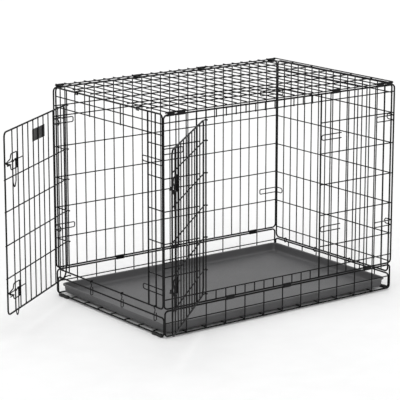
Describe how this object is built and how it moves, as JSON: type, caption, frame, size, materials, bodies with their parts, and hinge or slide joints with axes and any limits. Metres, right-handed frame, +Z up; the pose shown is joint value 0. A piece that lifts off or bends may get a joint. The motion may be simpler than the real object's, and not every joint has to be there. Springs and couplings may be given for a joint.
{
  "type": "folding wire dog crate",
  "caption": "Folding wire dog crate with hinged end and side doors, slide bolts, a slide-out tray, and panels that fold down flat on the base.",
  "frame": {"origin": "middle of the floor grid's underside, 4 mm above the surface that the rubber feet stand on", "axes": "+X along the crate away from the door end, +Y across it away from the side door, +Z up"},
  "size_m": [1.3486, 0.9571, 0.7166],
  "materials": {
    "wire_coat": "satin black electro-coat",
    "clip_steel": "satin black, slightly rougher",
    "pan_plastic": "fine-grained moulded plastic",
    "foot_rubber": "matt",
    "plate_plastic": "satin, blank"
  },
  "bodies": {
    "base": {"base_basket": "wire_coat", "foot_front_left": "foot_rubber", "foot_front_right": "foot_rubber", "foot_back_left": "foot_rubber", "foot_back_right": "foot_rubber"},
    "pan": {"floor_pan": "pan_plastic"},
    "front_side": {"front_side_panel": "wire_coat", "front_base_clip_1": "clip_steel", "front_base_clip_2": "clip_steel", "front_base_clip_3": "clip_steel", "side_door_keeper_1": "wire_coat", "side_door_keeper_2": "wire_coat"},
    "back_side": {"back_side_panel": "wire_coat", "back_base_clip_1": "clip_steel", "back_base_clip_2": "clip_steel", "back_base_clip_3": "clip_steel"},
    "top": {"top_panel": "wire_coat", "front_top_clip_1": "clip_steel", "front_top_clip_2": "clip_steel", "front_top_clip_3": "clip_steel", "front_top_clip_4": "clip_steel", "front_top_clip_5": "clip_steel", "back_top_clip_1": "clip_steel", "back_top_clip_2": "clip_steel", "back_top_clip_3": "clip_steel", "back_top_clip_4": "clip_steel"},
    "left_end": {"left_end_panel": "wire_coat", "left_end_hinge_hook_1": "wire_coat", "left_end_hinge_hook_2": "wire_coat", "left_end_hinge_hook_3": "wire_coat", "left_end_hook_upper": "wire_coat", "left_end_hook_lower": "wire_coat", "end_door_keeper_1": "wire_coat", "end_door_keeper_2": "wire_coat"},
    "right_end": {"right_end_panel": "wire_coat", "right_end_hinge_loop_1": "wire_coat", "right_end_hinge_loop_2": "wire_coat", "right_end_hinge_loop_3": "wire_coat", "right_end_hook_front_upper": "wire_coat", "right_end_hook_front_lower": "wire_coat", "right_end_hook_back_upper": "wire_coat", "right_end_hook_back_lower": "wire_coat"},
    "side_door_pin": {"side_door_hinge_post": "wire_coat"},
    "end_door_pin": {"end_door_hinge_post": "wire_coat"},
    "side_door": {"side_door": "wire_coat", "side_door_bracket_1": "wire_coat", "side_door_bracket_2": "wire_coat"},
    "end_door": {"end_door": "wire_coat", "end_door_bracket_1": "wire_coat", "end_door_bracket_2": "wire_coat", "blank_plate": "plate_plastic"},
    "side_door_bolt_1": {"side_door_bolt_1": "wire_coat"},
    "side_door_handle_1": {"side_door_handle_1": "wire_coat"},
    "side_door_bolt_2": {"side_door_bolt_2": "wire_coat"},
    "side_door_handle_2": {"side_door_handle_2": "wire_coat"},
    "end_door_bolt_1": {"end_door_bolt_1": "wire_coat"},
    "end_door_handle_1": {"end_door_handle_1": "wire_coat"},
    "end_door_bolt_2": {"end_door_bolt_2": "wire_coat"},
    "end_door_handle_2": {"end_door_handle_2": "wire_coat"}
  },
  "joints": [
    {"name": "pan_slide", "type": "slide", "parent": "base", "child": "pan", "axis": [-1, 0, 0], "range_m": [0, 0.85]},
    {"name": "front_side_fold", "type": "hinge", "parent": "base", "child": "front_side", "pos_m": [0, -0.30825, 0.08375], "axis": [-1, 0, 0], "range_deg": [0, 88.5]},
    {"name": "back_side_fold", "type": "hinge", "parent": "base", "child": "back_side", "pos_m": [0, 0.30825, 0.08375], "axis": [-1, 0, 0], "range_deg": [0, 88.5]},
    {"name": "top_fold", "type": "hinge", "parent": "back_side", "child": "top", "pos_m": [0, 0.30825, 0.7], "axis": [-1, 0, 0], "range_deg": [-88.5, 0]},
    {"name": "left_end_fold", "type": "hinge", "parent": "base", "child": "left_end", "pos_m": [-0.46725, 0, 0.0605], "axis": [0, -1, 0], "range_deg": [-90, 0]},
    {"name": "right_end_fold", "type": "hinge", "parent": "base", "child": "right_end", "pos_m": [0.46725, 0, 0.0505], "axis": [0, -1, 0], "range_deg": [0, 90]},
    {"name": "side_door_shut", "type": "hinge", "parent": "front_side", "child": "side_door_pin", "pos_m": [-0.3088, -0.30825, 0.4], "axis": [0, 0, 1], "range_deg": [0, 138]},
    {"name": "side_door_swing", "type": "hinge", "parent": "side_door_pin", "child": "side_door", "pos_m": [-0.3088, -0.30825, 0.4], "axis": [0, 0, -1], "range_deg": [-138, 14]},
    {"name": "end_door_shut", "type": "hinge", "parent": "left_end", "child": "end_door_pin", "pos_m": [-0.46725, 0.234, 0.36], "axis": [0, 0, 1], "range_deg": [0, 55]},
    {"name": "end_door_swing", "type": "hinge", "parent": "end_door_pin", "child": "end_door", "pos_m": [-0.46725, 0.234, 0.36], "axis": [0, 0, 1], "range_deg": [-75, 55]},
    {"name": "side_door_bolt_1_slide", "type": "slide", "parent": "side_door", "child": "side_door_bolt_1", "axis": [-0.7431, -0.6691, 0], "range_m": [0, 0.018]},
    {"name": "side_door_handle_1_lift", "type": "hinge", "parent": "side_door_bolt_1", "child": "side_door_handle_1", "pos_m": [-0.61506, -0.56591, 0.25], "axis": [0.7431, 0.6691, 0], "range_deg": [0, 100]},
    {"name": "side_door_bolt_2_slide", "type": "slide", "parent": "side_door", "child": "side_door_bolt_2", "axis": [-0.7431, -0.6691, 0], "range_m": [0, 0.018]},
    {"name": "side_door_handle_2_lift", "type": "hinge", "parent": "side_door_bolt_2", "child": "side_door_handle_2", "pos_m": [-0.61506, -0.56591, 0.555], "axis": [0.7431, 0.6691, 0], "range_deg": [0, 100]},
    {"name": "end_door_bolt_1_slide", "type": "slide", "parent": "end_door", "child": "end_door_bolt_1", "axis": [-0.8192, -0.5736, 0], "range_m": [0, 0.018]},
    {"name": "end_door_handle_1_lift", "type": "hinge", "parent": "end_door_bolt_1", "child": "end_door_handle_1", "pos_m": [-0.80263, 0.01559, 0.14], "axis": [0.8192, 0.5736, 0], "range_deg": [0, 100]},
    {"name": "end_door_bolt_2_slide", "type": "slide", "parent": "end_door", "child": "end_door_bolt_2", "axis": [-0.8192, -0.5736, 0], "range_m": [0, 0.018]},
    {"name": "end_door_handle_2_lift", "type": "hinge", "parent": "end_door_bolt_2", "child": "end_door_handle_2", "pos_m": [-0.80263, 0.01559, 0.55], "axis": [0.8192, 0.5736, 0], "range_deg": [0, 100]}
  ],
  "couplings": [
    {"joint": "back_side_fold", "follows": "front_side_fold", "ratio": 1},
    {"joint": "top_fold", "follows": "front_side_fold", "ratio": -1},
    {"joint": "side_door_shut", "follows": "front_side_fold", "ratio": 1.5593},
    {"joint": "end_door_shut", "follows": "left_end_fold", "ratio": -0.61111}
  ]
}
